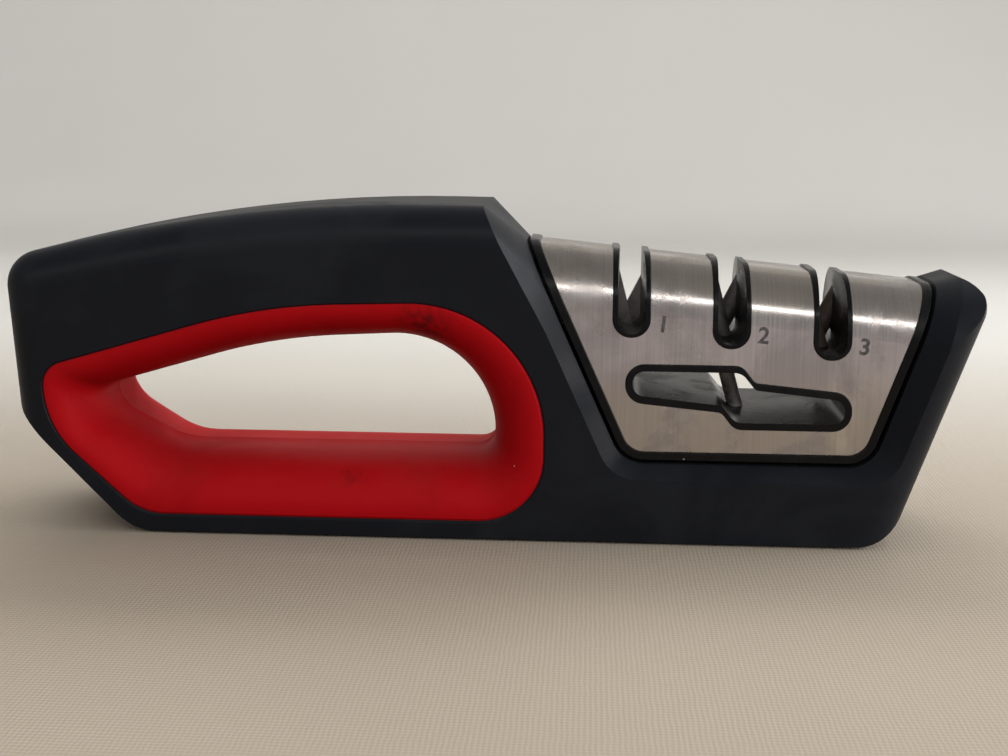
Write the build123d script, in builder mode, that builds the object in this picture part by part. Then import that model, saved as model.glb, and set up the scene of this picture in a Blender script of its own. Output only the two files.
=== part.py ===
# Pull-through knife sharpener: a looped handle with a soft red finger-hole liner,
# and a lift-out sharpening head with three knife slots and one scissors slot.
# Millimetres. X runs from the handle's tail to the nose, Y from front to back, Z up.
# The origin lies on the table, under the middle of the body.
from build123d import *
import os
from math import atan2, cos, hypot, radians, sin, tan

os.makedirs("parts", exist_ok=True)

# Body, driving sizes
body_width = 48.0         # front face to back face
crown_height = 75.4       # table to the handle's top at its head end
tail_height = 62.65       # table to the handle's top corner at the tail
handle_run = 109.4        # tail end to the handle's top corner at the head end
neck_drop = 8.3           # the handle's end slopes down to the head by this much
slope_setback = 1.9       # that slope's top lies this far behind the line of the bevel
slope_low = 48.0          # and it grows out of the bevel from this height
nose_height = 60.2        # table to the top of the nose
nose_wall = 10.8          # thickness of the nose, square to its slope
pad_proud = 0.5           # how far the rubber pads hold the body off the table
wall = 2.4                # wall of the moulded shells
edge_round = 8.0          # long edges of the handle, tail and nose
nose_round_share = 0.75   # part of the nose's top that its outer round takes
nose_shoulder = 18.0      # nose top, seen along its length
tail_round = 8.0
tail_lean = 2.0           # how far the tail's foot tucks in
heel_height = 29.0        # where the sloped heel meets the tail
heel_run = 29.1           # length of the sloped heel along the base
heel_round = 12.0
heel_top_round = 8.0
toe_round = 13.0
crown_vertex_rise = 0.65  # bend of the handle's back above its head end
crown_place_share = 0.52  # and its place along the handle's run
crown_round_share = 0.76  # part of the run beyond the bend that its large arc takes

# Sharpening head, driving sizes
plate_bottom = 20.2       # table to the lower edge of the steel cover
plate_foot_run = 52.4     # length of that lower edge
left_lean = 24.6          # slope of the head's handle side, degrees from upright
right_lean = 19.0         # slope of its nose side
deck_height = 62.4        # table to the steel cover's top at the middle of the head
deck_slope = 5.71         # the top falls towards the nose, degrees
sheet = 0.5               # steel thickness
cover_width = 35.6        # over the steel
cover_shoulder = 12.5     # bend radius of the steel, outside
plate_corner = 5.0
rim = 2.0                 # plastic rim round the steel
seat_gap = 0.7            # clearance of the head in the body
head_proud = 0.5          # lips and rim stand this far above the steel
proud_round = 0.25        # and their outer edges are rounded by this much
bevel_left = 3.3          # bevels of the body round the head
bevel_right = 4.7
bevel_bottom = 2.6
nose_dip = 1.6            # the nose's inner edge lies this far below its top

# Knife slots
slot_pitch = 22.4
slot_width = 8.6          # cut-out in the steel
slot_depth_share = 0.434  # of the head's height, below the deck
lip = 0.9                 # plastic lip inside the cut-out
slot_throat = 5.0         # clear width at the mid-plane
blade_notch_share = 0.68  # bottom of the V below the deck, as part of the slot's depth
rod_notch_share = 0.54
notch_half_angle = 20.6   # each side of a line square to the deck
notch_shift = 0.5         # middle of a slot to the bottom of its V
rod_diameter = 4.5        # diamond and ceramic rods
rod_length = 15.5
rod_below = 8.0           # rod below the bottom of the V
blade_width = 7.0
blade_thick = 2.5
blade_length = 15.0
blade_below = 6.0
split_gap = 0.1           # from the mid-plane to a rod or blade
fit_gap = 0.05            # play of a rod, blade or screw in its seat

# Scissors slot: an S of two lobes
lobe_reach = 25.5         # centre to the end of a lobe
lobe_rise = 7.4           # centre to the long edge of a lobe
lobe_end = 8.8            # height of a lobe at its round end
lobe_round = 4.4
step_run = 3.1            # the diagonal step between the lobes
step_fall = 3.9
step_start = 0.6
step_round = 3.5          # its outer corner
step_inner_round = 2.0
s_lip = 1.6
s_draft = 0.6             # how far the S closes, and rises, towards the back
s_rise_share = 0.303      # centre of the S above the plate's lower edge, of the head's height
guide_diameter = 3.6
guide_length = 20.0
guide_tilt = 16.3
guide_shift = 0.35        # axis left of the centre
s_shift = 2.0             # middle of the head to the centre of the S
rod_chamfer = 0.3
slot_round_share = 0.98   # roundness of a slot's floor

# Red liner of the finger hole
grip_run = 113.8
grip_rise = 50.5
tail_wall = 9.8           # black band at the tail
strap = 4.0               # black band under the liner
liner_land_share = 0.09   # part of the cove left as a flat rim
cove_start = 7.0          # straight part each side of the mid-plane
cove_draft_share = 0.03   # how far that part opens
liner_skin_share = 0.34   # thickness at the hole, as part of the flare
liner_wall_share = 0.22   # shell wall behind the liner, likewise
hollow_liner_share = 0.72 # outline of that wall near the mid-plane
liner_groove = 0.4        # shadow line between liner and shell
liner_flange = 4.0        # depth of the full outline behind the face
liner_back = 6.0          # depth from the mid-plane where the back taper ends
liner_seam = 0.1          # from the mid-plane to each half of the liner
# Corners of the liner, clockwise from the heel: along the run, up the rise, corner radius
outer_shares = [(0.187, 0, 0.277), (0, 0.392, 0.42), (-0.005, 0.667, 0.11),
                (0.445, 0.964, 2.574), (1, 1, 0.594), (1, 0, 0.297)]
hole_shares = [(0.225, 0.255, 0.396), (0.098, 0.406, 0.158), (0.073, 0.529, 0.05),
               (0.445, 0.774, 2.574), (0.893, 0.828, 0.446), (0.893, 0.255, 0.089)]

# Head location keys, screws and pads
key_width = 12.0
key_reach = 2.2
key_gap = 0.3
key_foot = 3.0            # key starts above the notch floor
key_left_rise = 26.0
key_right_rise = 16.0
key_lead = 8.0            # extra height of the groove above the key
screw_diameter = 3.0
screw_length = 18.0
screw_head = 5.6
screw_head_rise = 2.0
screw_seat = 8.0          # mid-plane to the seat of a screw head
socket_bore = 6.4
boss_wall = 1.6
plug_depth = 2.0
bore_spare = 1.0          # pilot bore beyond the tip of its screw
# Screws of the handle, as parts of its run and its height; then of the base, along the plate's foot
beam_screw_shares = ((0.165, 0.72), (0.64, 0.85), (0.93, 0.855))
base_screw_shares = (-0.15, 0.98)
base_screw_height = 8.8
core_screw_diameter = 2.2
core_screw_length = 12.0
core_screw_head = 4.2
core_screw_head_rise = 1.4
core_screw_seat = 7.0
# Screws of the core, along the plate's foot and up the head's height
core_screw_shares = ((-0.225, 0.82), (1.08, 0.655), (0.214, 0.114), (0.634, 0.655))
tab_width = 8.0           # tabs that fold under the core
tab_reach = 3.0
tab_inset = 10.0          # from the ends of the cover's lower edge
pad_depth = 1.5           # thickness of a pad
pad_width = 30.0
pad_corner = 5.0
pad_gap = 0.2
nose_pad_run = 60.0
heel_pad_run = 56.0
nose_pad_setback = 44.0   # toe to the middle of the nose pad
heel_pad_setback = 33.0   # heel to the middle of the heel pad
overrun = 5.0             # extra length of every cutting tool

# Derived places
half_width = body_width / 2
base_z = pad_proud
head_half = cover_width / 2 + head_proud
neck_height = crown_height - neck_drop
left_tan, right_tan = tan(radians(left_lean)), tan(radians(right_lean))
left_cos, right_cos = cos(radians(left_lean)), cos(radians(right_lean))
notch_offset = rim + seat_gap
nose_top = nose_wall / right_cos
nose_round = nose_round_share * nose_top / tan(radians(90 + right_lean) / 2)
handle_to_foot = ((crown_height - plate_bottom) * left_tan
                  + (notch_offset + bevel_left) / left_cos + slope_setback)
foot_to_nose = ((nose_height - nose_round - plate_bottom) * right_tan
                + (notch_offset - nose_round) / right_cos + nose_top + nose_round)
body_length = handle_run + handle_to_foot + plate_foot_run + foot_to_nose
tail_x = -body_length / 2
handle_end_x = tail_x + handle_run
foot_left = handle_end_x + handle_to_foot
foot_right = foot_left + plate_foot_run


def left_x(z, offset):
    return foot_left - (z - plate_bottom) * left_tan - offset / left_cos


def right_x(z, offset):
    return foot_right + (z - plate_bottom) * right_tan + offset / right_cos


deck_tan = tan(radians(deck_slope))
deck_rise = deck_height - plate_bottom
slot_depth = slot_depth_share * deck_rise
s_height = plate_bottom + s_rise_share * deck_rise
deck_half_fall = ((plate_foot_run + deck_rise * (left_tan + right_tan))
                  / (2 / deck_tan + right_tan - left_tan))
deck_middle = foot_left - (deck_rise + deck_half_fall) * left_tan + deck_half_fall / deck_tan


def deck_z(x):
    return deck_height - (x - deck_middle) * deck_tan


crown_run = crown_place_share * handle_run
crown_fall_run = handle_run - crown_run + slope_setback + bevel_left / left_cos
tail_angle = atan2(tail_lean, tail_height - heel_height)
crown_angle = atan2(crown_height + crown_vertex_rise - tail_height, crown_run)
crown_bend = crown_angle + atan2(crown_vertex_rise, crown_fall_run)
crown_round = crown_round_share * crown_fall_run / tan(crown_bend / 2)
tail_overhang = tail_round * ((cos(tail_angle) + sin(crown_angle))
                              / (1 + sin(crown_angle - tail_angle)) - 1)
crown_vertex = (tail_x + crown_run, crown_height + crown_vertex_rise)
neck_x = left_x(neck_height, notch_offset)
toe_x = right_x(base_z, notch_offset + nose_wall)
tail_foot_x = tail_x - tail_overhang + tail_lean
heel_x = tail_x + heel_run
deep = base_z - edge_round - overrun


def tail_line_x(z):
    return tail_foot_x - (z - heel_height) * tan(tail_angle)


def trapezoid(left, right, drop, top, corner):
    """Closed outline of the head's seat, grown by the given offsets."""
    low = plate_bottom - drop
    corners = [(left_x(top, left), top), (left_x(low, left), low),
               (right_x(low, right), low), (right_x(top, right), top)]
    return FilletPolyline(*corners, radius=[0, corner, corner, 0], close=True)


notch_low = plate_bottom - notch_offset
notch_corner = plate_corner + notch_offset
nose_offset = notch_offset + nose_wall
high = crown_height + overrun


def plan(depth):
    """Front-view sketch plane, this far in front of the mid-plane."""
    return Plane.XZ.offset(depth)


def is_long_edge(edge):
    middle = edge.center()
    reach = notch_offset + wall
    beside_notch = middle.X < left_x(middle.Z, reach) or middle.X > right_x(middle.Z, reach)
    return middle.Z > deep + overrun / 2 and beside_notch


def nose_corner_tool():
    """One upper corner of the nose's section, outside its shoulder."""
    inner, outer = half_width - nose_shoulder, half_width + overrun
    Line((inner, nose_height), (inner, nose_height + overrun))
    Line((inner, nose_height + overrun), (outer, nose_height + overrun))
    Line((outer, nose_height + overrun), (outer, nose_height - nose_shoulder))
    Line((outer, nose_height - nose_shoulder), (half_width, nose_height - nose_shoulder))
    RadiusArc((half_width, nose_height - nose_shoulder), (inner, nose_height), -nose_shoulder)


# Body form: rounded long edges first, then the flat base, sloped heel and toe
with BuildPart() as body_form:
    with BuildSketch(plan(half_width)):
        with BuildLine():
            FilletPolyline((tail_line_x(deep), deep), (tail_line_x(tail_height), tail_height),
                           crown_vertex, (left_x(crown_height, notch_offset), crown_height),
                           (left_x(notch_low, notch_offset), notch_low),
                           (right_x(notch_low, notch_offset), notch_low),
                           (right_x(nose_height, notch_offset), nose_height),
                           (right_x(nose_height, nose_offset), nose_height),
                           (right_x(deep, nose_offset), deep),
                           radius=[0, tail_round, crown_round, 0, notch_corner, notch_corner,
                                   0, nose_round, 0], close=True)
        make_face()
    extrude(amount=-body_width)
    faces_of_y = body_form.edges().group_by(Axis.Y)
    fillet([e for e in faces_of_y[0] + faces_of_y[-1] if is_long_edge(e)], edge_round)
    with BuildSketch(plan(half_width + overrun)):
        with BuildLine():
            FilletPolyline((heel_x, base_z), (tail_line_x(heel_height), heel_height),
                           (tail_line_x(high), high), (right_x(high, nose_offset), high),
                           (right_x(base_z, nose_offset), base_z),
                           radius=[heel_round, heel_top_round, 0, 0, toe_round], close=True)
        make_face()
    extrude(amount=-body_width - 2 * overrun, mode=Mode.INTERSECT)
    with BuildSketch(Plane.YZ.offset(deck_middle)):
        with BuildLine():
            nose_corner_tool()
        make_face()
        mirror(about=Plane.YZ)
    extrude(amount=body_length, mode=Mode.SUBTRACT)


def liner_outline(share, grow=0):
    """Outline between the hole at the mid-plane (0) and the liner's rim (1)."""
    corners, radii = [], []
    for hole, outer in zip(hole_shares, outer_shares):
        along, up, radius = (h + (o - h) * share for h, o in zip(hole, outer))
        corners.append((tail_x + tail_wall + along * grip_run, base_z + strap + up * grip_rise))
        radii.append(radius * grip_rise)
    return FilletPolyline(*corners, radius=radii, close=True)


# Space inside the liner, front half: straight at the mid-plane, then a quarter ellipse
cove_depth = half_width - cove_start
cove_steps = 5
cove_sections = [(0, 0), (cove_start, cove_draft_share)]
for step in range(1, cove_steps + 1):
    turn = radians(90) * step / cove_steps
    cove_sections.append((cove_start + cove_depth * sin(turn), cove_draft_share
                          + (1 - liner_land_share - cove_draft_share) * (1 - cos(turn))))
with BuildPart() as cove:
    for depth, share in cove_sections:
        with BuildSketch(plan(depth)):
            with BuildLine():
                liner_outline(share)
            make_face()
    loft()

# Outer form of the liner, front half: rim, back taper, then a sleeve round the hole
with BuildPart() as liner_plug:
    with BuildSketch(plan(half_width - liner_groove)):
        with BuildLine():
            liner_outline(1)
        make_face()
    extrude(amount=liner_groove - liner_flange)
    with BuildSketch(plan(half_width - liner_flange)):
        with BuildLine():
            liner_outline(1)
        make_face()
    with BuildSketch(plan(liner_back)):
        with BuildLine():
            liner_outline(liner_skin_share)
        make_face()
    loft(ruled=True)
    with BuildSketch(plan(liner_back)):
        with BuildLine():
            liner_outline(liner_skin_share)
        make_face()
    extrude(amount=-liner_back)


groove_share = 0.04
with BuildPart() as front_liner:
    add(liner_plug.part)
    for depth, share in ((half_width - liner_groove, 1), (half_width, 1 - groove_share)):
        with BuildSketch(plan(depth)):
            with BuildLine():
                liner_outline(share)
            make_face()
    loft(ruled=True)
    add(cove.part, mode=Mode.SUBTRACT)
    split(bisect_by=plan(liner_seam), keep=Keep.TOP)
front_liner.part.label = "front_liner"
with BuildPart() as back_liner:
    mirror(front_liner.part, about=Plane.XZ)
back_liner.part.label = "back_liner"

# Seat of the liner in a shell, with its half of the shadow line
with BuildPart() as liner_seat:
    add(liner_plug.part)
    for depth, share in ((half_width - liner_groove, 1),
                         (half_width + liner_groove, 1 + 2 * groove_share)):
        with BuildSketch(plan(depth)):
            with BuildLine():
                liner_outline(share)
            make_face()
    loft(ruled=True)


def key_outline(reach, wall_x, low, rise):
    """Side view of a location key or of its groove, along a sloping wall."""
    return Polyline((wall_x(low, 0), low), (wall_x(low + rise, 0), low + rise),
                    (wall_x(low + rise, reach), low + rise), (wall_x(low, reach), low),
                    close=True)


bevel_floor = head_half + seat_gap
bevel_depth = half_width - bevel_floor
bevel_growth = (bevel_depth + overrun) / bevel_depth
key_low = notch_low + key_foot
groove_reach = notch_offset + key_reach + key_gap
hollow_offset = groove_reach + wall
pad_top = pad_depth
heel_pad_x = heel_x + heel_pad_setback
nose_pad_x = toe_x - nose_pad_setback
pads = ((heel_pad_x, heel_pad_run), (nose_pad_x, nose_pad_run))
screw_places = [(tail_x + along * handle_run, up * crown_height) for along, up in beam_screw_shares]
screw_places += [(foot_left + along * plate_foot_run, base_screw_height) for along in base_screw_shares]
core_screws = [(foot_left + along * plate_foot_run, plate_bottom + up * deck_rise)
               for along, up in core_screw_shares]

# Arched ends of the handle and the nose at the head: foot, top, half width and shoulder
inner_shoulder = cover_shoulder + head_proud + seat_gap
nose_low = nose_height - nose_shoulder - overrun
nose_inner_top = nose_height - nose_dip
handle_end = ((left_x(slope_low, notch_offset), slope_low, neck_x, neck_height,
               bevel_floor, inner_shoulder),
              (left_x(slope_low, notch_offset + bevel_left), slope_low, handle_end_x, crown_height,
               half_width, edge_round))
nose_end = ((right_x(nose_low, notch_offset), nose_low,
             right_x(nose_inner_top, notch_offset), nose_inner_top, bevel_floor, inner_shoulder),
            (right_x(nose_low, notch_offset + bevel_right), nose_low,
             right_x(nose_height, notch_offset + bevel_right), nose_height, half_width, nose_shoulder))
bevel_span = (-0.2, 1.5)    # a cutter starts before the bevel and ends beyond it


def bevel_cutter(inner, outer):
    """What a bevel round an arched end takes away."""
    arches = []
    for share in bevel_span:
        foot_x, foot_z, top_x, top_z, half, shoulder = (
            a + (b - a) * share for a, b in zip(inner, outer))
        rise = Vector(top_x - foot_x, 0, top_z - foot_z)
        arches.append((Plane(origin=(foot_x, 0, foot_z), x_dir=(0, 1, 0), z_dir=(rise.Z, 0, -rise.X)),
                       rise.length, half, shoulder))
    with BuildPart() as cutter:
        for arch_plane, rise, half, shoulder in arches:
            with BuildSketch(arch_plane):
                with Locations((0, body_width / 2)):
                    Rectangle(2 * body_width, body_width)
        loft(ruled=True)
        for arch_plane, rise, half, shoulder in arches:
            with BuildSketch(arch_plane):
                with BuildLine():
                    FilletPolyline((-half, 0), (-half, rise), (half, rise), (half, 0),
                                   radius=[0, shoulder, shoulder, 0], close=True)
                make_face()
        loft(ruled=True, mode=Mode.SUBTRACT)
    return cutter.part


# Inside of a shell, front half: stepped so that the liner and the rounded edges keep their wall
hollow_steps = ((liner_back + wall, wall, hollow_liner_share),
                (half_width - edge_round, wall, 1 + liner_wall_share),
                (half_width - wall, edge_round - wall, 1 + liner_wall_share))
with BuildPart() as hollow:
    for depth, inset, liner_share in hollow_steps:
        with BuildSketch(plan(0)):
            with BuildLine():
                FilletPolyline((heel_x, base_z), (tail_line_x(heel_height), heel_height),
                               (tail_line_x(tail_height), tail_height), crown_vertex,
                               (handle_end_x, crown_height), (neck_x, neck_height),
                               (left_x(notch_low, notch_offset), notch_low),
                               (right_x(notch_low, nose_offset), notch_low),
                               (right_x(base_z, nose_offset), base_z),
                               radius=[heel_round, heel_top_round, tail_round, crown_round,
                                       0, 0, 0, 0, toe_round], close=True)
            make_face()
            offset(amount=-inset)
            with BuildLine():
                liner_outline(liner_share)
            make_face(mode=Mode.SUBTRACT)
            with BuildLine():
                trapezoid(hollow_offset, hollow_offset, notch_offset + wall, high, notch_corner)
            make_face(mode=Mode.SUBTRACT)
        extrude(amount=depth)

# Half of the body with everything that both shells share
with BuildPart() as half_shell:
    add(body_form.part)
    split(bisect_by=Plane.XZ)
    with BuildSketch(plan(bevel_floor)):
        with BuildLine():
            trapezoid(notch_offset, notch_offset, notch_offset, high, notch_corner)
        make_face()
    with BuildSketch(plan(half_width + overrun)):
        with BuildLine():
            trapezoid(notch_offset + bevel_left * bevel_growth, notch_offset + bevel_right * bevel_growth,
                      notch_offset + bevel_bottom * bevel_growth, high, notch_corner + bevel_left)
        make_face()
    loft(ruled=True, mode=Mode.SUBTRACT)
    add(bevel_cutter(*handle_end), mode=Mode.SUBTRACT)
    add(bevel_cutter(*nose_end), mode=Mode.SUBTRACT)
    add(liner_seat.part, mode=Mode.SUBTRACT)
    add(hollow.part, mode=Mode.SUBTRACT)
    for x, z in screw_places:
        with BuildSketch(plan(0)):
            with Locations((x, z)):
                Circle(socket_bore / 2 + boss_wall)
        extrude(amount=half_width - wall)
    with BuildSketch(plan(-overrun)):
        for wall_x, rise in ((left_x, key_left_rise), (right_x, key_right_rise)):
            with BuildLine():
                key_outline(groove_reach, wall_x, key_low - key_gap, rise + key_lead)
            make_face()
    extrude(amount=overrun + key_width / 2 + key_gap, mode=Mode.SUBTRACT)
    with BuildSketch(Plane.XY):
        for x, run in pads:
            with Locations((x, 0)):
                RectangleRounded(run + 2 * pad_gap, pad_width + 2 * pad_gap, pad_corner + pad_gap)
    extrude(amount=pad_top, mode=Mode.SUBTRACT)

with BuildPart() as front_shell:
    add(half_shell.part)
    with BuildSketch(plan(0)):
        with Locations(*screw_places):
            Circle(screw_diameter / 2 + fit_gap)
    extrude(amount=screw_length - screw_seat + bore_spare, mode=Mode.SUBTRACT)
front_shell.part.label = "front_shell"

with BuildPart() as back_shell:
    mirror(half_shell.part, about=Plane.XZ)
    with BuildSketch(plan(0)):
        with Locations(*screw_places):
            Circle(screw_diameter / 2 + fit_gap)
    extrude(amount=-screw_seat, mode=Mode.SUBTRACT)
    with BuildSketch(plan(-screw_seat)):
        with Locations(*screw_places):
            Circle(socket_bore / 2)
    extrude(amount=screw_seat - half_width, mode=Mode.SUBTRACT)
back_shell.part.label = "back_shell"

# Screws from the back and the plugs that hide them
with BuildPart() as shell_screws:
    with BuildSketch(plan(-screw_seat)):
        with Locations(*screw_places):
            Circle(screw_head / 2)
    extrude(amount=-screw_head_rise)
    with BuildSketch(plan(-screw_seat)):
        with Locations(*screw_places):
            Circle(screw_diameter / 2)
    extrude(amount=screw_length)
shell_screws.part.label = "shell_screws"

with BuildPart() as screw_plugs:
    with BuildSketch(plan(plug_depth - half_width)):
        with Locations(*screw_places):
            Circle(socket_bore / 2 - fit_gap)
    extrude(amount=-plug_depth)
screw_plugs.part.label = "screw_plugs"


def pad_part(x, run):
    with BuildPart() as pad:
        with BuildSketch(Plane.XY):
            with Locations((x, 0)):
                RectangleRounded(run, pad_width, pad_corner)
        extrude(amount=pad_depth)
        chamfer(pad.edges().group_by(Axis.Z)[0], pad_proud / 2)
    return pad.part


heel_pad = pad_part(*pads[0])
heel_pad.label = "heel_pad"
nose_pad = pad_part(*pads[1])
nose_pad.label = "nose_pad"

# Sharpening head
deck_plane = Plane(origin=(deck_middle, 0, deck_height), x_dir=(0, 1, 0),
                   z_dir=(cos(radians(deck_slope)), 0, -sin(radians(deck_slope))))
deck_reach = body_length / 2
cover_half = cover_width / 2
slots_x = [deck_middle + step * slot_pitch for step in (-1, 0, 1)]
s_x = deck_middle + s_shift


def head_section(growth):
    """Arch of the head seen along its length, grown from the steel's outside."""
    half, top = cover_half + growth, growth
    return FilletPolyline((-half, -deck_height), (-half, top), (half, top), (half, -deck_height),
                          radius=[0, cover_shoulder + growth, cover_shoulder + growth, 0], close=True)


def slot_outline(x, half, floor):
    """Upright slot with a round floor, open at the top."""
    radius = half * slot_round_share
    return FilletPolyline((x - half, high), (x - half, floor), (x + half, floor), (x + half, high),
                          radius=[0, radius, radius, 0], close=True)


def scissors_outline(inset, lift=0):
    """S outline of two lobes, shrunk by the inset and lifted."""
    reach, rise = lobe_reach - inset, lobe_rise - inset
    inner = lobe_rise - lobe_end + inset
    half = [(-reach, rise), (step_start, rise), (step_start + step_run, rise - step_fall),
            (reach, -inner)]
    points = half + [(-x, -z) for x, z in half]
    radii = [lobe_round - inset, step_round, step_inner_round, lobe_round - inset]
    return FilletPolyline(*[(s_x + x, s_height + lift + z) for x, z in points],
                          radius=radii + radii, close=True)


def is_outer_edge(edge):
    """Whether an edge lies in the outer surface of the lips and the rim, off the mid-plane."""
    for share in (0.25, 0.5, 0.75):
        place = deck_plane.to_local_coords(edge.position_at(share))
        across = max(abs(place.X) - cover_half + cover_shoulder, 0)
        up = max(place.Y + cover_shoulder, 0)
        if abs(hypot(across, up) - cover_shoulder - head_proud) > fit_gap / 5:
            return False
    return abs(edge.center().Y) > fit_gap


with BuildPart() as proud_trim:
    with BuildSketch(deck_plane):
        with BuildLine():
            head_section(head_proud)
        make_face()
    extrude(amount=deck_reach, both=True)
    with BuildSketch(plan(0)):
        with BuildLine():
            trapezoid(rim, rim, rim, high, plate_corner + rim)
        make_face()
        with BuildLine():
            trapezoid(fit_gap, fit_gap, fit_gap, high + overrun, plate_corner)
        make_face(mode=Mode.SUBTRACT)
        for x in slots_x:
            with BuildLine():
                slot_outline(x, slot_width / 2 - fit_gap, deck_z(x) - slot_depth + fit_gap)
            make_face()
        with BuildLine():
            scissors_outline(fit_gap)
        make_face()
    extrude(amount=half_width, mode=Mode.INTERSECT)
    fillet([e for e in proud_trim.edges() if is_outer_edge(e)], proud_round)

# Half of the plastic core, without the seats of rods and blades
tabs_x = (foot_left + tab_inset + tab_width / 2, foot_right - tab_inset - tab_width / 2)
tab_end = cover_half - sheet - tab_reach
with BuildPart() as half_core:
    with BuildSketch(deck_plane):
        with BuildLine():
            head_section(-sheet - fit_gap)
        make_face()
    extrude(amount=deck_reach, both=True)
    with BuildSketch(plan(0)):
        with BuildLine():
            trapezoid(rim, rim, rim, high, plate_corner + rim)
        make_face()
    extrude(amount=half_width, mode=Mode.INTERSECT)
    add(proud_trim.part)
    with BuildSketch(plan(0)):
        for wall_x, rise in ((left_x, key_left_rise), (right_x, key_right_rise)):
            with BuildLine():
                key_outline(notch_offset + key_reach, wall_x, key_low, rise)
            make_face()
    extrude(amount=key_width / 2)
    for x in slots_x:
        for depth, half in ((0, slot_throat / 2), (half_width, slot_width / 2 - lip)):
            with BuildSketch(plan(depth)):
                with BuildLine():
                    slot_outline(x, half, deck_z(x) - slot_depth + lip)
                make_face()
        loft(ruled=True, mode=Mode.SUBTRACT)
    with BuildSketch(Plane.XY.offset(plate_bottom - fit_gap)):
        for x in tabs_x:
            with Locations((x, -half_width)):
                Rectangle(tab_width + 2 * fit_gap, 2 * (half_width - tab_end + fit_gap))
    extrude(amount=sheet + 2 * fit_gap, mode=Mode.SUBTRACT)


blade_sizes = (blade_width, blade_thick, blade_length, blade_below, blade_notch_share * slot_depth)
rod_sizes = (rod_diameter, rod_diameter, rod_length, rod_below, rod_notch_share * slot_depth)


def element_plane(x, lean, sizes, play=0):
    """Plane square to a rod or blade at its lower end; lean 1 is front, -1 is back."""
    breadth, thickness, length, below, notch_depth = sizes
    turn = lean * radians(notch_half_angle) - radians(deck_slope)
    side, start = lean * breadth / 2, below + play
    origin = (x - notch_shift - side * cos(turn) + start * sin(turn),
              -lean * (split_gap + thickness / 2),
              deck_z(x) - notch_depth - side * sin(turn) - start * cos(turn))
    return Plane(origin=origin, x_dir=(0, 1, 0), z_dir=(-sin(turn), 0, cos(turn)))


guide_plane = Plane(origin=(s_x - guide_shift, 0, s_height), x_dir=(0, 1, 0),
                    z_dir=(-sin(radians(guide_tilt)), 0, cos(radians(guide_tilt))))
elements = ((slots_x[0], blade_sizes), (slots_x[1], rod_sizes), (slots_x[2], rod_sizes))


def core_part(half, lean):
    """Half core with the scissors channel and its open seats for blade, rods and guide rod."""
    reach = overrun + split_gap
    with BuildPart() as core:
        add(half)
        for depth, draft in ((half_width, 0), (-half_width, s_draft)):
            with BuildSketch(plan(depth)):
                with BuildLine():
                    scissors_outline(s_lip + draft, draft)
                make_face()
        loft(ruled=True, mode=Mode.SUBTRACT)
        for x, sizes in elements:
            breadth, thickness, length = sizes[:3]
            run = reach + thickness + fit_gap
            with BuildSketch(element_plane(x, lean, sizes, fit_gap)):
                if breadth > thickness:
                    with Locations((lean * (run / 2 - thickness / 2 - fit_gap), 0)):
                        Rectangle(run, breadth + 2 * fit_gap)
                else:
                    Circle(breadth / 2 + fit_gap)
                    with Locations((lean * (reach + thickness / 2) / 2, 0)):
                        Rectangle(reach + thickness / 2, breadth + 2 * fit_gap)
            extrude(amount=length + 2 * fit_gap, mode=Mode.SUBTRACT)
        with BuildSketch(guide_plane):
            Circle(guide_diameter / 2 + fit_gap)
        extrude(amount=guide_length / 2 + fit_gap, both=True, mode=Mode.SUBTRACT)
    return core.part


with BuildPart() as front_core:
    add(core_part(half_core.part, 1))
    with BuildSketch(plan(0)):
        with Locations(*core_screws):
            Circle(core_screw_diameter / 2 + fit_gap)
    extrude(amount=core_screw_length - core_screw_seat + bore_spare, mode=Mode.SUBTRACT)
front_core.part.label = "front_core"

with BuildPart() as mirrored_core:
    mirror(half_core.part, about=Plane.XZ)
with BuildPart() as back_core:
    add(core_part(mirrored_core.part, -1))
    with BuildSketch(plan(0)):
        with Locations(*core_screws):
            Circle(core_screw_diameter / 2 + fit_gap)
    extrude(amount=-core_screw_seat, mode=Mode.SUBTRACT)
    with BuildSketch(plan(-core_screw_seat)):
        with Locations(*core_screws):
            Circle(core_screw_head / 2 + fit_gap)
    extrude(amount=-half_width, mode=Mode.SUBTRACT)
back_core.part.label = "back_core"

with BuildPart() as core_screw_set:
    with BuildSketch(plan(-core_screw_seat)):
        with Locations(*core_screws):
            Circle(core_screw_head / 2)
    extrude(amount=-core_screw_head_rise)
    with BuildSketch(plan(-core_screw_seat)):
        with Locations(*core_screws):
            Circle(core_screw_diameter / 2)
    extrude(amount=core_screw_length)
core_screw_set.part.label = "core_screws"

# Steel cover: one bent sheet with its cut-outs and folded tabs
with BuildPart() as steel_cover:
    with BuildSketch(deck_plane):
        with BuildLine():
            head_section(0)
        make_face()
        with BuildLine():
            head_section(-sheet)
        make_face(mode=Mode.SUBTRACT)
    extrude(amount=deck_reach, both=True)
    with BuildSketch(plan(-half_width)):
        with BuildLine():
            trapezoid(0, 0, 0, high, plate_corner)
        make_face()
        for x in slots_x:
            with BuildLine():
                slot_outline(x, slot_width / 2, deck_z(x) - slot_depth)
            make_face(mode=Mode.SUBTRACT)
        with BuildLine():
            scissors_outline(0)
        make_face(mode=Mode.SUBTRACT)
    extrude(amount=body_width, mode=Mode.INTERSECT)
    with BuildSketch(Plane.XY.offset(plate_bottom)):
        for x in tabs_x:
            for side in (-1, 1):
                with Locations((x, side * (cover_half + tab_end) / 2)):
                    Rectangle(tab_width, cover_half - tab_end)
    extrude(amount=sheet)
steel_cover.part.label = "steel_cover"


def blade_part(x, lean):
    with BuildPart() as blade:
        with BuildSketch(element_plane(x, lean, blade_sizes)):
            Rectangle(blade_thick, blade_width)
        extrude(amount=blade_length)
    return blade.part


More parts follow.
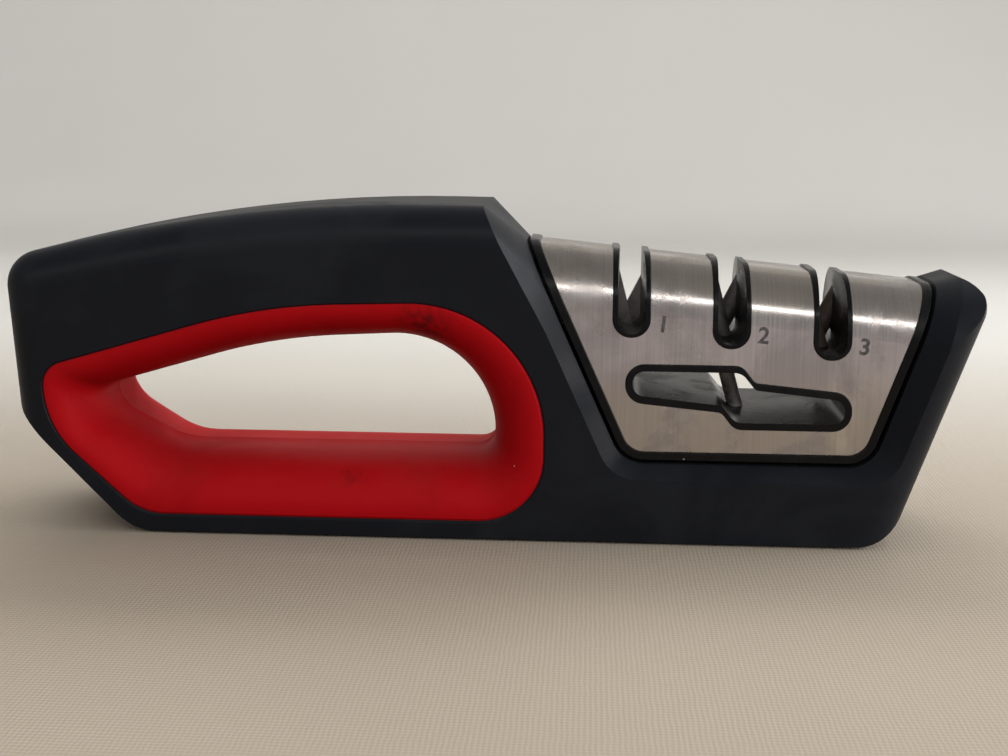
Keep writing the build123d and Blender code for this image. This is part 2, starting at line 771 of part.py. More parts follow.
def rod_part(x, lean):
    with BuildPart() as rod:
        with BuildSketch(element_plane(x, lean, rod_sizes)):
            Circle(rod_diameter / 2)
        extrude(amount=rod_length)
        chamfer(rod.edges().filter_by(GeomType.CIRCLE), rod_chamfer)
    return rod.part


with BuildPart() as scissors_rod:
    with BuildSketch(guide_plane):
        Circle(guide_diameter / 2)
    extrude(amount=guide_length / 2, both=True)
    chamfer(scissors_rod.edges().filter_by(GeomType.CIRCLE), rod_chamfer)
scissors_rod.part.label = "scissors_rod"

coarse_blade_left = blade_part(slots_x[0], 1)
coarse_blade_left.label = "coarse_blade_left"
coarse_blade_right = blade_part(slots_x[0], -1)
coarse_blade_right.label = "coarse_blade_right"
medium_rod_left = rod_part(slots_x[1], 1)
medium_rod_left.label = "medium_rod_left"
medium_rod_right = rod_part(slots_x[1], -1)
medium_rod_right.label = "medium_rod_right"
fine_rod_left = rod_part(slots_x[2], 1)
fine_rod_left.label = "fine_rod_left"
fine_rod_right = rod_part(slots_x[2], -1)
fine_rod_right.label = "fine_rod_right"

export_step(front_shell.part, "parts/front_shell.step")
export_step(back_shell.part, "parts/back_shell.step")
export_step(front_liner.part, "parts/front_liner.step")
export_step(back_liner.part, "parts/back_liner.step")
export_step(heel_pad, "parts/heel_pad.step")
export_step(nose_pad, "parts/nose_pad.step")
export_step(shell_screws.part, "parts/shell_screws.step")
export_step(screw_plugs.part, "parts/screw_plugs.step")
export_step(steel_cover.part, "parts/steel_cover.step")
export_step(front_core.part, "parts/front_core.step")
export_step(back_core.part, "parts/back_core.step")
export_step(core_screw_set.part, "parts/core_screws.step")
export_step(coarse_blade_left, "parts/coarse_blade_left.step")
export_step(coarse_blade_right, "parts/coarse_blade_right.step")
export_step(medium_rod_left, "parts/medium_rod_left.step")
export_step(medium_rod_right, "parts/medium_rod_right.step")
export_step(fine_rod_left, "parts/fine_rod_left.step")
export_step(fine_rod_right, "parts/fine_rod_right.step")
export_step(scissors_rod.part, "parts/scissors_rod.step")
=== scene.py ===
import math

import bpy
from mathutils import Matrix, Vector


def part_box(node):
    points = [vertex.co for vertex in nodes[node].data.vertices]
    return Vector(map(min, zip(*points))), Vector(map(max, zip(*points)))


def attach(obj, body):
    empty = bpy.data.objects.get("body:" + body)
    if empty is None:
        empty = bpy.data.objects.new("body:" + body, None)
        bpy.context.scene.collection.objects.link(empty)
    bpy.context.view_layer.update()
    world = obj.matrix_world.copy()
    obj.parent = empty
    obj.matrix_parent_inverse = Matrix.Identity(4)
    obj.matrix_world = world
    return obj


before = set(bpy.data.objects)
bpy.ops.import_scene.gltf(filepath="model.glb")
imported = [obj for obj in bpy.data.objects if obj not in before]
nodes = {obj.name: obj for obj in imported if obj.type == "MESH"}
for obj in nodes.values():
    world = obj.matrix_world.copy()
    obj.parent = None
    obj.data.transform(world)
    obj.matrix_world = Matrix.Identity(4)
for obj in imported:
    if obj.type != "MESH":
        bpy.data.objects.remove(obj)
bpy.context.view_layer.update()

print("stage: frame loaded,", len(nodes), "nodes")

# Camera, in metres in the sharpener's own frame
camera = {
    "place": (0.022111, -0.329679, 0.096123),
    "right": (0.99816, 0.06024, 0.00683),
    "up": (-0.01797, 0.18632, 0.98232),
    "backward": (0.05790, -0.98064, 0.18706),
    "lens": 50.0,                    # millimetres
    "sensor": 36.0,
    "nearest": 0.01,
    "farthest": 20.0,
}


def setCamera(look):
    data = bpy.data.cameras.new("viewCamera")
    data.lens, data.sensor_width = look["lens"], look["sensor"]
    data.clip_start, data.clip_end = look["nearest"], look["farthest"]
    cam = bpy.data.objects.new("viewCamera", data)
    axes = Matrix((look["right"], look["up"], look["backward"])).transposed().to_4x4()
    cam.matrix_world = Matrix.Translation(look["place"]) @ axes
    bpy.context.scene.collection.objects.link(cam)
    bpy.context.scene.camera = cam


setCamera(camera)


# Node helpers
def newMaterial(name):
    material = bpy.data.materials.new(name)
    material.use_nodes = True
    tree = material.node_tree
    return material, tree, tree.nodes["Principled BSDF"]


def setInput(tree, socket, value):
    # value is a socket to link, a colour, or a plain value
    if isinstance(value, bpy.types.NodeSocket):
        tree.links.new(value, socket)
    elif socket.type == "RGBA":
        socket.default_value = (*value, 1)
    else:
        socket.default_value = value


def addNode(tree, kind, place, inputs=None, **settings):
    node = tree.nodes.new(kind)
    node.location = place
    for key, value in settings.items():
        setattr(node, key, value)
    for key, value in (inputs or {}).items():
        setInput(tree, node.inputs[key], value)
    return node


def objectPlace(tree, place):
    return addNode(tree, "ShaderNodeTexCoord", place).outputs["Object"]


def calc(tree, place, operation, *values):
    node = addNode(tree, "ShaderNodeMath", place, dict(enumerate(values)), operation=operation)
    return node.outputs[0]


def mapRange(tree, place, value, source=(0.0, 1.0), target=(0.0, 1.0), smooth=False):
    inputs = {"Value": value, "From Min": source[0], "From Max": source[1],
              "To Min": target[0], "To Max": target[1]}
    kind = "SMOOTHSTEP" if smooth else "LINEAR"
    node = addNode(tree, "ShaderNodeMapRange", place, inputs, interpolation_type=kind)
    return node.outputs["Result"]


def mixColor(tree, place, factor, low, high):
    # 6, 7 and the output 2 are the node's colour sockets
    mix = addNode(tree, "ShaderNodeMix", place, {0: factor, 6: low, 7: high}, data_type="RGBA")
    return mix.outputs[2]


def addBump(tree, surface, height, distance, before=None):
    bump = addNode(tree, "ShaderNodeBump", (300, -400), {"Height": height, "Distance": distance})
    if before is not None:
        tree.links.new(before, bump.inputs["Normal"])
    tree.links.new(bump.outputs["Normal"], surface.inputs["Normal"])


def newGroup(name, inputs, output):
    # inputs with a float as their default are floats, the rest are vectors
    group = bpy.data.node_groups.new(name, "ShaderNodeTree")
    for title, value in inputs.items():
        kind = "NodeSocketFloat" if isinstance(value, float) else "NodeSocketVector"
        socket = group.interface.new_socket(title, in_out="INPUT", socket_type=kind)
        if value is not None:
            socket.default_value = value
    group.interface.new_socket(output, in_out="OUTPUT", socket_type="NodeSocketFloat")
    start = addNode(group, "NodeGroupInput", (-900, 0)).outputs
    end = addNode(group, "NodeGroupOutput", (700, 0)).inputs[output]
    return group, start, end


def placeGroup(tree, group, place, where, **values):
    node = addNode(tree, "ShaderNodeGroup", place, node_tree=group)
    for title, value in {"Vector": where, **values}.items():
        setInput(tree, node.inputs[title], value)
    return node.outputs[0]


# Pale sweep behind the sharpener, lamps and world
studio = {
    "tableColor": (0.27, 0.245, 0.245),     # beyond the cloth's front edge, outside the view
    "clothColor": (0.276, 0.236, 0.188),    # in front of the object
    "wallColor": (0.45, 0.441, 0.420),      # behind it
    "clothRoughness": 0.9,
    "tableToCloth": (-0.26, -0.15),         # stretch in y where one turns into the other
    "clothToWall": (-0.04, 0.34),
    "wallGlowFrom": (0.58, 0.92),           # stretch in y where the glow sets in
    "wallGlow": 0.52,                       # only what the camera and glossy surfaces see
    "weaveSize": 0.0009,                    # from thread to thread along x
    "weaveStretch": 1.15,                   # times that along y
    "weavePeriod": 0.31,                    # the wave texture's period at scale 1
    "weaveDepth": 0.00003,
    "weaveDistortion": 2.5,
    "weaveDetailScale": 0.6,
    "foldSize": 0.11,
    "foldDepth": 0.003,
    "foldDetail": 1.0,
    "front": -1.6,
    "sweepStart": 0.75,                     # floor behind the object before it turns up
    "sweepRadius": 0.5,
    "sweepSteps": 16,
    "sweepHeight": 1.6,
    "halfWidth": 2.4,
    "gap": 0.0001,                          # between the pads and the cloth
    "skyColor": (0.86, 0.83, 0.79),
    "skyStrength": (0.44, 0.26),            # at the horizon and overhead
    "skyBack": 0.10,                        # more of it behind the object
    "lamps": {
        "topLamp": {"place": (0.0, 0.10, 1.00), "aim": (0.0, 0.0, 0.03), "size": (1.4, 0.9),
                    "watts": 4.8, "color": (1.0, 0.98, 0.95), "glossy": False, "spread": 180},
        "rearLamp": {"place": (0.10, 0.70, 0.78), "aim": (0.0, 0.0, 0.03), "size": (1.6, 0.4),
                     "watts": 5.2, "color": (1.0, 0.99, 0.96), "glossy": False, "spread": 100},
        "frontLamp": {"place": (0.55, -0.95, 0.55), "aim": (0.0, 0.0, 0.04), "size": (0.8, 0.5),
                      "watts": 4.8, "color": (1.0, 0.98, 0.95), "glossy": False, "spread": 180},
        "rightPanel": {"place": (0.90, 0.05, 0.25), "aim": (0.10, 0.0, 0.04), "size": (1.3, 0.6),
                       "watts": 9.0, "color": (0.98, 0.99, 1.0), "glossy": True, "spread": 150},
        "windowStrip": {"place": (0.05, -1.20, 0.78), "aim": (0.03, 0.0, 0.06), "size": (2.4, 0.07),
                        "watts": 6.0, "color": (1.0, 0.98, 0.94), "glossy": True, "spread": 180},
    },
}


def makeSweep(look):
    start, radius, gap = look["sweepStart"], look["sweepRadius"], look["gap"]
    profile = [(look["front"], -gap), (start, -gap)]
    for step in range(1, look["sweepSteps"] + 1):
        angle = math.pi / 2 * step / look["sweepSteps"]
        profile.append((start + radius * math.sin(angle), radius * (1 - math.cos(angle)) - gap))
    profile.append((profile[-1][0], look["sweepHeight"]))
    vertices = [(side * look["halfWidth"], y, z) for side in (-1, 1) for y, z in profile]
    count = len(profile)
    faces = [(i, i + count, i + count + 1, i + 1) for i in range(count - 1)]
    mesh = bpy.data.meshes.new("studioFloor")
    mesh.from_pydata(vertices, [], faces)
    mesh.update()
    for face in mesh.polygons:
        face.use_smooth = True
    floor = bpy.data.objects.new("studioFloor", mesh)
    bpy.context.scene.collection.objects.link(floor)
    mesh.materials.append(clothMaterial(look))


def clothMaterial(look):
    material, tree, surface = newMaterial("clothAndWall")
    where = objectPlace(tree, (-1300, 0))
    depth = addNode(tree, "ShaderNodeSeparateXYZ", (-1100, 0), {0: where}).outputs["Y"]
    edge = mapRange(tree, (-700, 300), depth, look["tableToCloth"], smooth=True)
    turn = mapRange(tree, (-700, 0), depth, look["clothToWall"], smooth=True)
    color = mixColor(tree, (-500, 300), edge, look["tableColor"], look["clothColor"])
    color = mixColor(tree, (-300, 200), turn, color, look["wallColor"])
    setInput(tree, surface.inputs["Base Color"], color)
    surface.inputs["Roughness"].default_value = look["clothRoughness"]

    weaves = [addNode(tree, "ShaderNodeTexWave", (-900, -700),
                      {"Vector": where, "Scale": look["weavePeriod"] / size,
                       "Distortion": look["weaveDistortion"],
                       "Detail Scale": look["weaveDetailScale"]},
                      bands_direction=bands).outputs["Fac"]
              for bands, size in (("X", look["weaveSize"]),
                                  ("Y", look["weaveSize"] * look["weaveStretch"]))]
    height = calc(tree, (-600, -700), "ADD", *weaves)
    folds = addNode(tree, "ShaderNodeTexNoise", (-900, -1000),
                    {"Vector": where, "Scale": 1 / look["foldSize"], "Detail": look["foldDetail"]})
    soft = addNode(tree, "ShaderNodeBump", (0, -900),
                   {"Height": folds.outputs["Fac"], "Distance": look["foldDepth"]})
    addBump(tree, surface, height, look["weaveDepth"], before=soft.outputs["Normal"])

    rays = addNode(tree, "ShaderNodeLightPath", (-900, -400)).outputs
    seen = calc(tree, (-700, -400), "MAXIMUM", rays["Is Camera Ray"], rays["Is Glossy Ray"])
    high = mapRange(tree, (-700, -550), depth, look["wallGlowFrom"], smooth=True)
    glow = calc(tree, (-500, -400), "MULTIPLY", seen, high)
    level = calc(tree, (-300, -400), "MULTIPLY", glow, look["wallGlow"])
    setInput(tree, surface.inputs["Emission Color"], look["wallColor"])
    setInput(tree, surface.inputs["Emission Strength"], level)

    # the cloth can be looked through from below, so that the underside shows
    below = addNode(tree, "ShaderNodeNewGeometry", (400, 300)).outputs["Backfacing"]
    clear = addNode(tree, "ShaderNodeBsdfTransparent", (400, -200)).outputs[0]
    either = addNode(tree, "ShaderNodeMixShader", (600, 0),
                     {0: below, 1: surface.outputs[0], 2: clear})
    tree.links.new(either.outputs[0], tree.nodes["Material Output"].inputs["Surface"])
    return material


def makeWorld(look):
    world = bpy.data.worlds.new("studioWorld")
    world.use_nodes = True
    tree = world.node_tree
    way = addNode(tree, "ShaderNodeTexCoord", (-1100, 0)).outputs["Generated"]
    way = addNode(tree, "ShaderNodeSeparateXYZ", (-900, 0), {0: way}).outputs
    up = mapRange(tree, (-600, 100), way["Z"], target=look["skyStrength"])
    back = mapRange(tree, (-600, -200), way["Y"], target=(0.0, look["skyBack"]))
    background = tree.nodes["Background"]
    setInput(tree, background.inputs["Color"], look["skyColor"])
    setInput(tree, background.inputs["Strength"], calc(tree, (-300, 0), "ADD", up, back))
    bpy.context.scene.world = world


def makeLamps(look):
    for name, lampLook in look["lamps"].items():
        data = bpy.data.lights.new(name, "AREA")
        data.shape = "RECTANGLE"
        data.size, data.size_y = lampLook["size"]
        data.energy, data.color = lampLook["watts"], lampLook["color"]
        data.spread = math.radians(lampLook["spread"])
        lamp = bpy.data.objects.new(name, data)
        lamp.location = lampLook["place"]
        lamp.visible_glossy = lampLook["glossy"]
        toward = Vector(lampLook["aim"]) - Vector(lampLook["place"])
        lamp.rotation_euler = toward.to_track_quat("-Z", "Y").to_euler()
        bpy.context.scene.collection.objects.link(lamp)


makeSweep(studio)
makeWorld(studio)
makeLamps(studio)
bpy.context.scene.view_settings.view_transform = "Standard"
print("stage: camera, floor, world and lamps set")


# Shared shader groups, each giving one mask or height
def makeGrainGroup():
    # fine moulded grain: two sizes of noise added together
    wider = 3.1         # the wide noise's size over the fine one's
    wideShare = 0.3
    group, start, end = newGroup("mouldGrain", {"Vector": None, "Size": 0.0004}, "Height")
    scale = calc(group, (-700, -150), "DIVIDE", 1.0, start["Size"])
    wideScale = calc(group, (-500, -250), "DIVIDE", scale, wider)
    fine = addNode(group, "ShaderNodeTexNoise", (-300, 100),
                   {"Vector": start["Vector"], "Scale": scale, "Detail": 2.0})
    wide = addNode(group, "ShaderNodeTexNoise", (-300, -200),
                   {"Vector": start["Vector"], "Scale": wideScale, "Detail": 1.0})
    mix = addNode(group, "ShaderNodeMix", (200, 0),
                  {"Factor": wideShare, "A": fine.outputs["Fac"], "B": wide.outputs["Fac"]},
                  data_type="FLOAT")
    group.links.new(mix.outputs["Result"], end)
    return group


def makeSmudgeGroup():
    # cloudy handling marks
    group, start, end = newGroup(
        "handlingSmudges", {"Vector": None, "Scale": 60.0, "From": 0.45, "To": 0.7}, "Mask")
    noise = addNode(group, "ShaderNodeTexNoise", (-400, 0),
                    {"Vector": start["Vector"], "Scale": start["Scale"], "Detail": 5.0,
                     "Roughness": 0.6, "Distortion": 0.6})
    mask = mapRange(group, (100, 0), noise.outputs["Fac"], (start["From"], start["To"]),
                    smooth=True)
    group.links.new(mask, end)
    return group


def makeDustAndReflectionGroup():
    # what faces up, broken by noise: settled dust on the moulded parts; on the steel the same mask
    # carries a painted warm reflection of the surroundings above
    broken = (0.3, 0.75)    # noise levels with no dust and with all of it
    group, start, end = newGroup(
        "settledDustAndPaintedReflection", {"Vector": None, "Scale": 90.0, "Lowest": 0.2, "Full": 0.95}, "Mask")
    normal = addNode(group, "ShaderNodeNewGeometry", (-700, 200)).outputs["Normal"]
    rise = addNode(group, "ShaderNodeSeparateXYZ", (-500, 200), {0: normal}).outputs["Z"]
    up = mapRange(group, (-300, 200), rise, (start["Lowest"], start["Full"]), smooth=True)
    noise = addNode(group, "ShaderNodeTexNoise", (-300, -100),
                    {"Vector": start["Vector"], "Scale": start["Scale"], "Detail": 6.0,
                     "Roughness": 0.65})
    patches = mapRange(group, (0, -100), noise.outputs["Fac"], broken)
    group.links.new(calc(group, (300, 0), "MULTIPLY", up, patches), end)
    return group


def makeScratchGroup():
    # hairlines: noise stretched along one direction, cut to thin crests
    crest = 0.85        # noise level of a full line
    group, start, end = newGroup(
        "fineScratches",
        {"Vector": None, "Turn": 0.4, "Across": 900.0, "Along": 25.0, "Threshold": 0.72}, "Mask")
    turned = addNode(group, "ShaderNodeVectorRotate", (-600, 0),
                     {"Vector": start["Vector"], "Angle": start["Turn"]}, rotation_type="Y_AXIS")
    stretch = addNode(group, "ShaderNodeCombineXYZ", (-600, -200),
                      {"X": start["Across"], "Y": start["Along"], "Z": start["Along"]})
    scaled = addNode(group, "ShaderNodeVectorMath", (-400, 0),
                     {0: turned.outputs[0], 1: stretch.outputs[0]}, operation="MULTIPLY")
    noise = addNode(group, "ShaderNodeTexNoise", (-200, 0),
                    {"Vector": scaled.outputs[0], "Scale": 1.0, "Detail": 2.0})
    lines = mapRange(group, (100, 0), noise.outputs["Fac"], (start["Threshold"], crest))
    group.links.new(lines, end)
    return group


def makeSpeckGroup():
    # scattered lint: small dots in a few of the cells
    group, start, end = newGroup(
        "lintSpecks", {"Vector": None, "Scale": 160.0, "Size": 0.03, "Share": 0.3}, "Mask")
    cells = addNode(group, "ShaderNodeTexVoronoi", (-500, 0),
                    {"Vector": start["Vector"], "Scale": start["Scale"]}).outputs
    chance = addNode(group, "ShaderNodeSeparateXYZ", (-300, -200), {0: cells["Color"]}).outputs["X"]
    near = calc(group, (-200, 100), "LESS_THAN", cells["Distance"], start["Size"])
    few = calc(group, (-100, -200), "LESS_THAN", chance, start["Share"])
    group.links.new(calc(group, (200, 0), "MULTIPLY", near, few), end)
    return group


def makeScuffGroup():
    # one soft rubbed spot around a place, broken up by noise
    broken = (0.38, 0.62)   # noise levels with nothing rubbed and with all of it
    patchScale = 420.0
    group, start, end = newGroup(
        "rubbedSpot", {"Vector": None, "Place": (0.0, 0.0, 0.0), "Radius": 0.01, "Amount": 0.6},
        "Mask")
    away = addNode(group, "ShaderNodeVectorMath", (-600, 0),
                   {0: start["Vector"], 1: start["Place"]}, operation="DISTANCE").outputs["Value"]
    fade = mapRange(group, (-300, 0), away, (0.0, start["Radius"]), (start["Amount"], 0.0),
                    smooth=True)
    noise = addNode(group, "ShaderNodeTexNoise", (-300, -300),
                    {"Vector": start["Vector"], "Scale": patchScale, "Detail": 4.0})
    patches = mapRange(group, (0, -300), noise.outputs["Fac"], broken)
    group.links.new(calc(group, (300, 0), "MULTIPLY", fade, patches), end)
    return group


grainGroup = makeGrainGroup()
smudgeGroup = makeSmudgeGroup()
dustAndReflectionGroup = makeDustAndReflectionGroup()
scratchGroup = makeScratchGroup()
speckGroup = makeSpeckGroup()
scuffGroup = makeScuffGroup()
print("stage: shader groups built")

# Moulded plastics and rubbers; scuffs are given as place, radius and amount
bodyPlasticLook = {
    "color": (0.0050, 0.0060, 0.0088), "worn": (0.0078, 0.0090, 0.0120),
    "dust": (0.20, 0.19, 0.18), "dustAmount": 0.012, "dustScale": 55.0, "smudgeScale": 38.0,
    "roughness": (0.42, 0.54), "specular": 0.14, "grainSize": 0.00028, "grainDepth": 0.00003,
    "speckColor": (0.22, 0.215, 0.21), "speckShare": 0.16, "scuffs": [],
}
corePlasticLook = {
    "color": (0.0028, 0.0028, 0.0033), "worn": (0.0055, 0.0055, 0.0060),
    "dust": (0.14, 0.13, 0.12), "dustAmount": 0.012, "dustScale": 120.0, "smudgeScale": 90.0,
    "roughness": (0.22, 0.36), "specular": 0.15, "grainSize": 0.0002, "grainDepth": 0.00001,
    "speckColor": (0.20, 0.19, 0.18), "speckShare": 0.25, "scuffs": [],
}
padRubberLook = {
    "color": (0.016, 0.016, 0.017), "worn": (0.032, 0.031, 0.029),
    "dust": (0.22, 0.21, 0.19), "dustAmount": 0.12, "dustScale": 80.0, "smudgeScale": 60.0,
    "roughness": (0.72, 0.88), "specular": 0.25, "grainSize": 0.0005, "grainDepth": 0.00004,
    "speckColor": (0.24, 0.23, 0.22), "speckShare": 0.4, "scuffs": [],
}
linerRubberLook = {
    "color": (0.305, 0.0018, 0.0042), "worn": (0.262, 0.0016, 0.0037),
    "dust": (0.42, 0.10, 0.09), "dustAmount": 0.07, "dustScale": 45.0, "smudgeScale": 30.0,
    "roughness": (0.55, 0.68), "specular": 0.07, "grainSize": 0.00035, "grainDepth": 0.00003,
    "speckColor": (0.45, 0.20, 0.19), "speckShare": 0.12, "scuffColor": (0.035, 0.004, 0.005),
    "scuffs": [((-0.0137, -0.0205, 0.0498), 0.0095, 0.85),
               ((-0.0311, -0.0205, 0.0141), 0.006, 0.4)],
}


def mouldedMaterial(name, look):
    material, tree, surface = newMaterial(name)
    where = objectPlace(tree, (-1400, 0))
    smudge = placeGroup(tree, smudgeGroup, (-1000, 200), where, Scale=look["smudgeScale"])
    dust = placeGroup(tree, dustAndReflectionGroup, (-1000, -100), where, Scale=look["dustScale"])
    grain = placeGroup(tree, grainGroup, (-1000, -400), where, Size=look["grainSize"])
    speck = placeGroup(tree, speckGroup, (-1000, 500), where, Share=look["speckShare"])
    dust = calc(tree, (-700, -100), "MULTIPLY", dust, look["dustAmount"])
    color = mixColor(tree, (-500, 300), smudge, look["color"], look["worn"])
    color = mixColor(tree, (-250, 300), dust, color, look["dust"])
    color = mixColor(tree, (-100, 300), speck, color, look["speckColor"])
    for place, radius, amount in look["scuffs"]:
        scuff = placeGroup(tree, scuffGroup, (-1000, 800), where,
                           Place=place, Radius=radius, Amount=amount)
        color = mixColor(tree, (0, 300), scuff, color, look["scuffColor"])
    setInput(tree, surface.inputs["Base Color"], color)
    rough = mapRange(tree, (-500, 0), smudge, target=look["roughness"])
    setInput(tree, surface.inputs["Roughness"], rough)
    surface.inputs["Specular IOR Level"].default_value = look["specular"]
    addBump(tree, surface, grain, look["grainDepth"])
    return material


# Brushed sheet: tint by height, clouds and smudges, streaks, and a painted warm reflection on the
# faces that look up
coverSteelLook = {
    "color": (0.640, 0.598, 0.598), "smudge": (0.30, 0.275, 0.280), "warm": (0.62, 0.572, 0.515),
    # painted reflection: faces that look up are mixed towards a warmer, darker beige, standing in
    # for the surroundings above that they mirror
    "paintedTopReflection": (0.60, 0.545, 0.455), "topAmount": 0.85,
    "topScale": 14.0, "topFacing": (0.1, 0.6),
    "warmToCool": (0.026, 0.044),           # heights between which the side's tint changes
    "smudgeScale": 42.0, "smudgeRange": (0.46, 0.62), "smudgeShare": 0.4,
    "cloudScale": 26.0, "cloudRange": (0.44, 0.58), "cloudShare": 0.6,
    "markAmount": 0.80, "streakAmount": 0.55, "roughness": (0.20, 0.36),
    "brushAcross": 2600.0, "brushAlong": 16.0, "brushThreshold": 0.2, "brushDepth": 0.000012,
    "scratchAcross": 2400.0, "scratchAlong": 55.0, "scratchThreshold": 0.70, "scratchTurn": 0.55,
}


def brushedMaterial(name, look):
    material, tree, surface = newMaterial(name)
    where = objectPlace(tree, (-1600, 0))
    brush = placeGroup(tree, scratchGroup, (-1200, 0), where, Turn=0.0, Across=look["brushAcross"],
                       Along=look["brushAlong"], Threshold=look["brushThreshold"])
    scratch = placeGroup(tree, scratchGroup, (-1200, -300), where, Turn=look["scratchTurn"],
                         Across=look["scratchAcross"], Along=look["scratchAlong"],
                         Threshold=look["scratchThreshold"])
    smudge = placeGroup(tree, smudgeGroup, (-1200, 300), where, Scale=look["smudgeScale"],
                        From=look["smudgeRange"][0], To=look["smudgeRange"][1])
    cloud = placeGroup(tree, smudgeGroup, (-1200, 600), where, Scale=look["cloudScale"],
                       From=look["cloudRange"][0], To=look["cloudRange"][1])
    # mask for the painted reflection on the top, by how far each face looks up
    top = placeGroup(tree, dustAndReflectionGroup, (-1200, 900), where, Scale=look["topScale"],
                     Lowest=look["topFacing"][0], Full=look["topFacing"][1])
    height = addNode(tree, "ShaderNodeSeparateXYZ", (-1400, 1200), {0: where}).outputs["Z"]
    cool = mapRange(tree, (-1200, 1200), height, look["warmToCool"], smooth=True)
    marks = calc(tree, (-1100, 300), "MULTIPLY", smudge, look["smudgeShare"])
    marks = calc(tree, (-1000, 400), "MULTIPLY_ADD", cloud, look["cloudShare"], marks)
    marks = calc(tree, (-900, 300), "MULTIPLY", marks, look["markAmount"])
    streaks = calc(tree, (-900, 0), "MULTIPLY", brush, look["streakAmount"])
    top = calc(tree, (-900, 900), "MULTIPLY", top, look["topAmount"])
    color = mixColor(tree, (-1000, 900), cool, look["warm"], look["color"])
    color = mixColor(tree, (-800, 700), marks, color, look["smudge"])
    color = mixColor(tree, (-600, 500), streaks, color, look["smudge"])
    color = mixColor(tree, (-400, 300), top, color, look["paintedTopReflection"])
    setInput(tree, surface.inputs["Base Color"], color)
    surface.inputs["Metallic"].default_value = 1.0
    rough = mapRange(tree, (-600, 0), smudge, target=look["roughness"])
    setInput(tree, surface.inputs["Roughness"], rough)
    lines = calc(tree, (-600, -300), "SUBTRACT", brush, scratch)
    addBump(tree, surface, lines, look["brushDepth"])
    return material


# Screws, blades and rods
abrasiveLooks = {
    "screwSteel": {"color": (0.55, 0.55, 0.56), "dark": (0.40, 0.40, 0.41), "metallic": 1.0,
                   "smudgeScale": 260.0, "roughness": (0.28, 0.42),
                   "grainSize": 0.0006, "grainDepth": 0.00001},
    "carbide": {"color": (0.25, 0.235, 0.23), "dark": (0.15, 0.14, 0.14), "metallic": 1.0,
                "smudgeScale": 260.0, "roughness": (0.35, 0.5),
                "grainSize": 0.0003, "grainDepth": 0.00001},
    "diamondRod": {"color": (0.22, 0.21, 0.205), "dark": (0.10, 0.095, 0.09), "metallic": 0.7,
                   "smudgeScale": 260.0, "roughness": (0.5, 0.7),
                   "grainSize": 0.00016, "grainDepth": 0.00003},
    "darkCeramic": {"color": (0.10, 0.075, 0.065), "dark": (0.05, 0.04, 0.035), "metallic": 0.0,
                    "smudgeScale": 260.0, "roughness": (0.35, 0.5),
                    "grainSize": 0.0002, "grainDepth": 0.00001},
    "paleCeramic": {"color": (0.36, 0.34, 0.33), "dark": (0.16, 0.145, 0.14), "metallic": 0.0,
                    "smudgeScale": 260.0, "roughness": (0.25, 0.4),
                    "grainSize": 0.0002, "grainDepth": 0.00001},
}


def abrasiveMaterial(name, look):
    material, tree, surface = newMaterial(name)
    where = objectPlace(tree, (-1400, 0))
    smudge = placeGroup(tree, smudgeGroup, (-1000, 200), where, Scale=look["smudgeScale"])
    grain = placeGroup(tree, grainGroup, (-1000, -200), where, Size=look["grainSize"])
    color = mixColor(tree, (-500, 300), smudge, look["color"], look["dark"])
    setInput(tree, surface.inputs["Base Color"], color)
    rough = mapRange(tree, (-500, 0), grain, target=look["roughness"])
    setInput(tree, surface.inputs["Roughness"], rough)
    surface.inputs["Metallic"].default_value = look["metallic"]
    addBump(tree, surface, grain, look["grainDepth"])
    return material


bodyPlastic = mouldedMaterial("bodyPlastic", bodyPlasticLook)
corePlastic = mouldedMaterial("corePlastic", corePlasticLook)
padRubber = mouldedMaterial("padRubber", padRubberLook)
linerRubber = mouldedMaterial("linerRubber", linerRubberLook)
coverSteel = brushedMaterial("coverSteel", coverSteelLook)
abrasives = {name: abrasiveMaterial(name, look) for name, look in abrasiveLooks.items()}

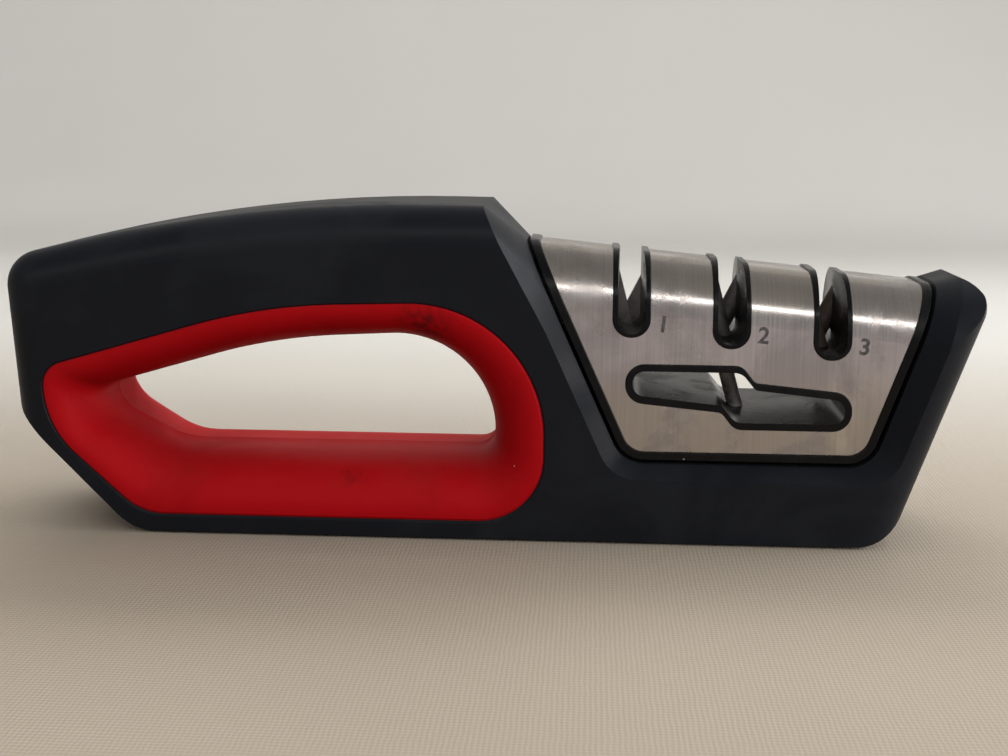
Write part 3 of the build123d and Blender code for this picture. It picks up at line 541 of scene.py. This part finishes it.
finishes = {
    "front_shell": bodyPlastic, "back_shell": bodyPlastic,
    "front_liner": linerRubber, "back_liner": linerRubber,
    "heel_pad": padRubber, "nose_pad": padRubber, "screw_plugs": padRubber,
    "front_core": corePlastic, "back_core": corePlastic, "steel_cover": coverSteel,
    "shell_screws": abrasives["screwSteel"], "core_screws": abrasives["screwSteel"],
    "coarse_blade_left": abrasives["carbide"], "coarse_blade_right": abrasives["carbide"],
    "medium_rod_left": abrasives["diamondRod"], "medium_rod_right": abrasives["diamondRod"],
    "fine_rod_left": abrasives["darkCeramic"], "fine_rod_right": abrasives["darkCeramic"],
    "scissors_rod": abrasives["paleCeramic"],
}
for name, material in finishes.items():
    for slot in nodes[name].material_slots:
        slot.material = material
print("stage: materials placed")

# Plain grey numbers printed on the cover beside the three slots
numbers = {
    "color": (0.045, 0.043, 0.047),
    "worn": (0.12, 0.115, 0.115),
    "wornScale": 900.0,
    "roughness": 0.6,
    "height": 0.0036,
    "capShare": 0.7,                        # a digit's height as a share of the font's size
    "bolder": 0.00012,                      # added round the outline
    "lift": 0.00003,                        # off the sheet
    "tilt": -5.7,                           # degrees, along the sloping deck
    # digit, x of its middle and z of its foot
    "places": [("1", 0.0392, 0.0478), ("2", 0.0616, 0.0456), ("3", 0.0840, 0.0434)],
}


def inkMaterial(look):
    material, tree, surface = newMaterial("numberInk")
    worn = placeGroup(tree, smudgeGroup, (-900, 200), objectPlace(tree, (-1100, 200)),
                      Scale=look["wornScale"])
    setInput(tree, surface.inputs["Base Color"],
             mixColor(tree, (-500, 200), worn, look["color"], look["worn"]))
    surface.inputs["Roughness"].default_value = look["roughness"]
    return material


def printNumbers(look):
    ink = inkMaterial(look)
    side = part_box("steel_cover")[0][1]
    # text is made lying flat: stood up, then tilted
    turned = (Matrix.Rotation(math.radians(look["tilt"]), 4, "Y").inverted()
              @ Matrix.Rotation(math.radians(90), 4, "X"))
    for digit, x, z in look["places"]:
        curve = bpy.data.curves.new("number" + digit, "FONT")
        curve.body, curve.align_x = digit, "CENTER"
        curve.size, curve.offset = look["height"] / look["capShare"], look["bolder"]
        flat = bpy.data.objects.new("numberCurve" + digit, curve)
        bpy.context.scene.collection.objects.link(flat)
        bpy.context.view_layer.update()
        mesh = bpy.data.meshes.new_from_object(flat)
        bpy.data.objects.remove(flat)
        mesh.materials.clear()
        mesh.materials.append(ink)
        mark = bpy.data.objects.new("number" + digit, mesh)
        bpy.context.scene.collection.objects.link(mark)
        mark.matrix_world = Matrix.Translation((x, side - look["lift"], z)) @ turned
        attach(mark, "head")


printNumbers(numbers)
print("stage: numbers printed")
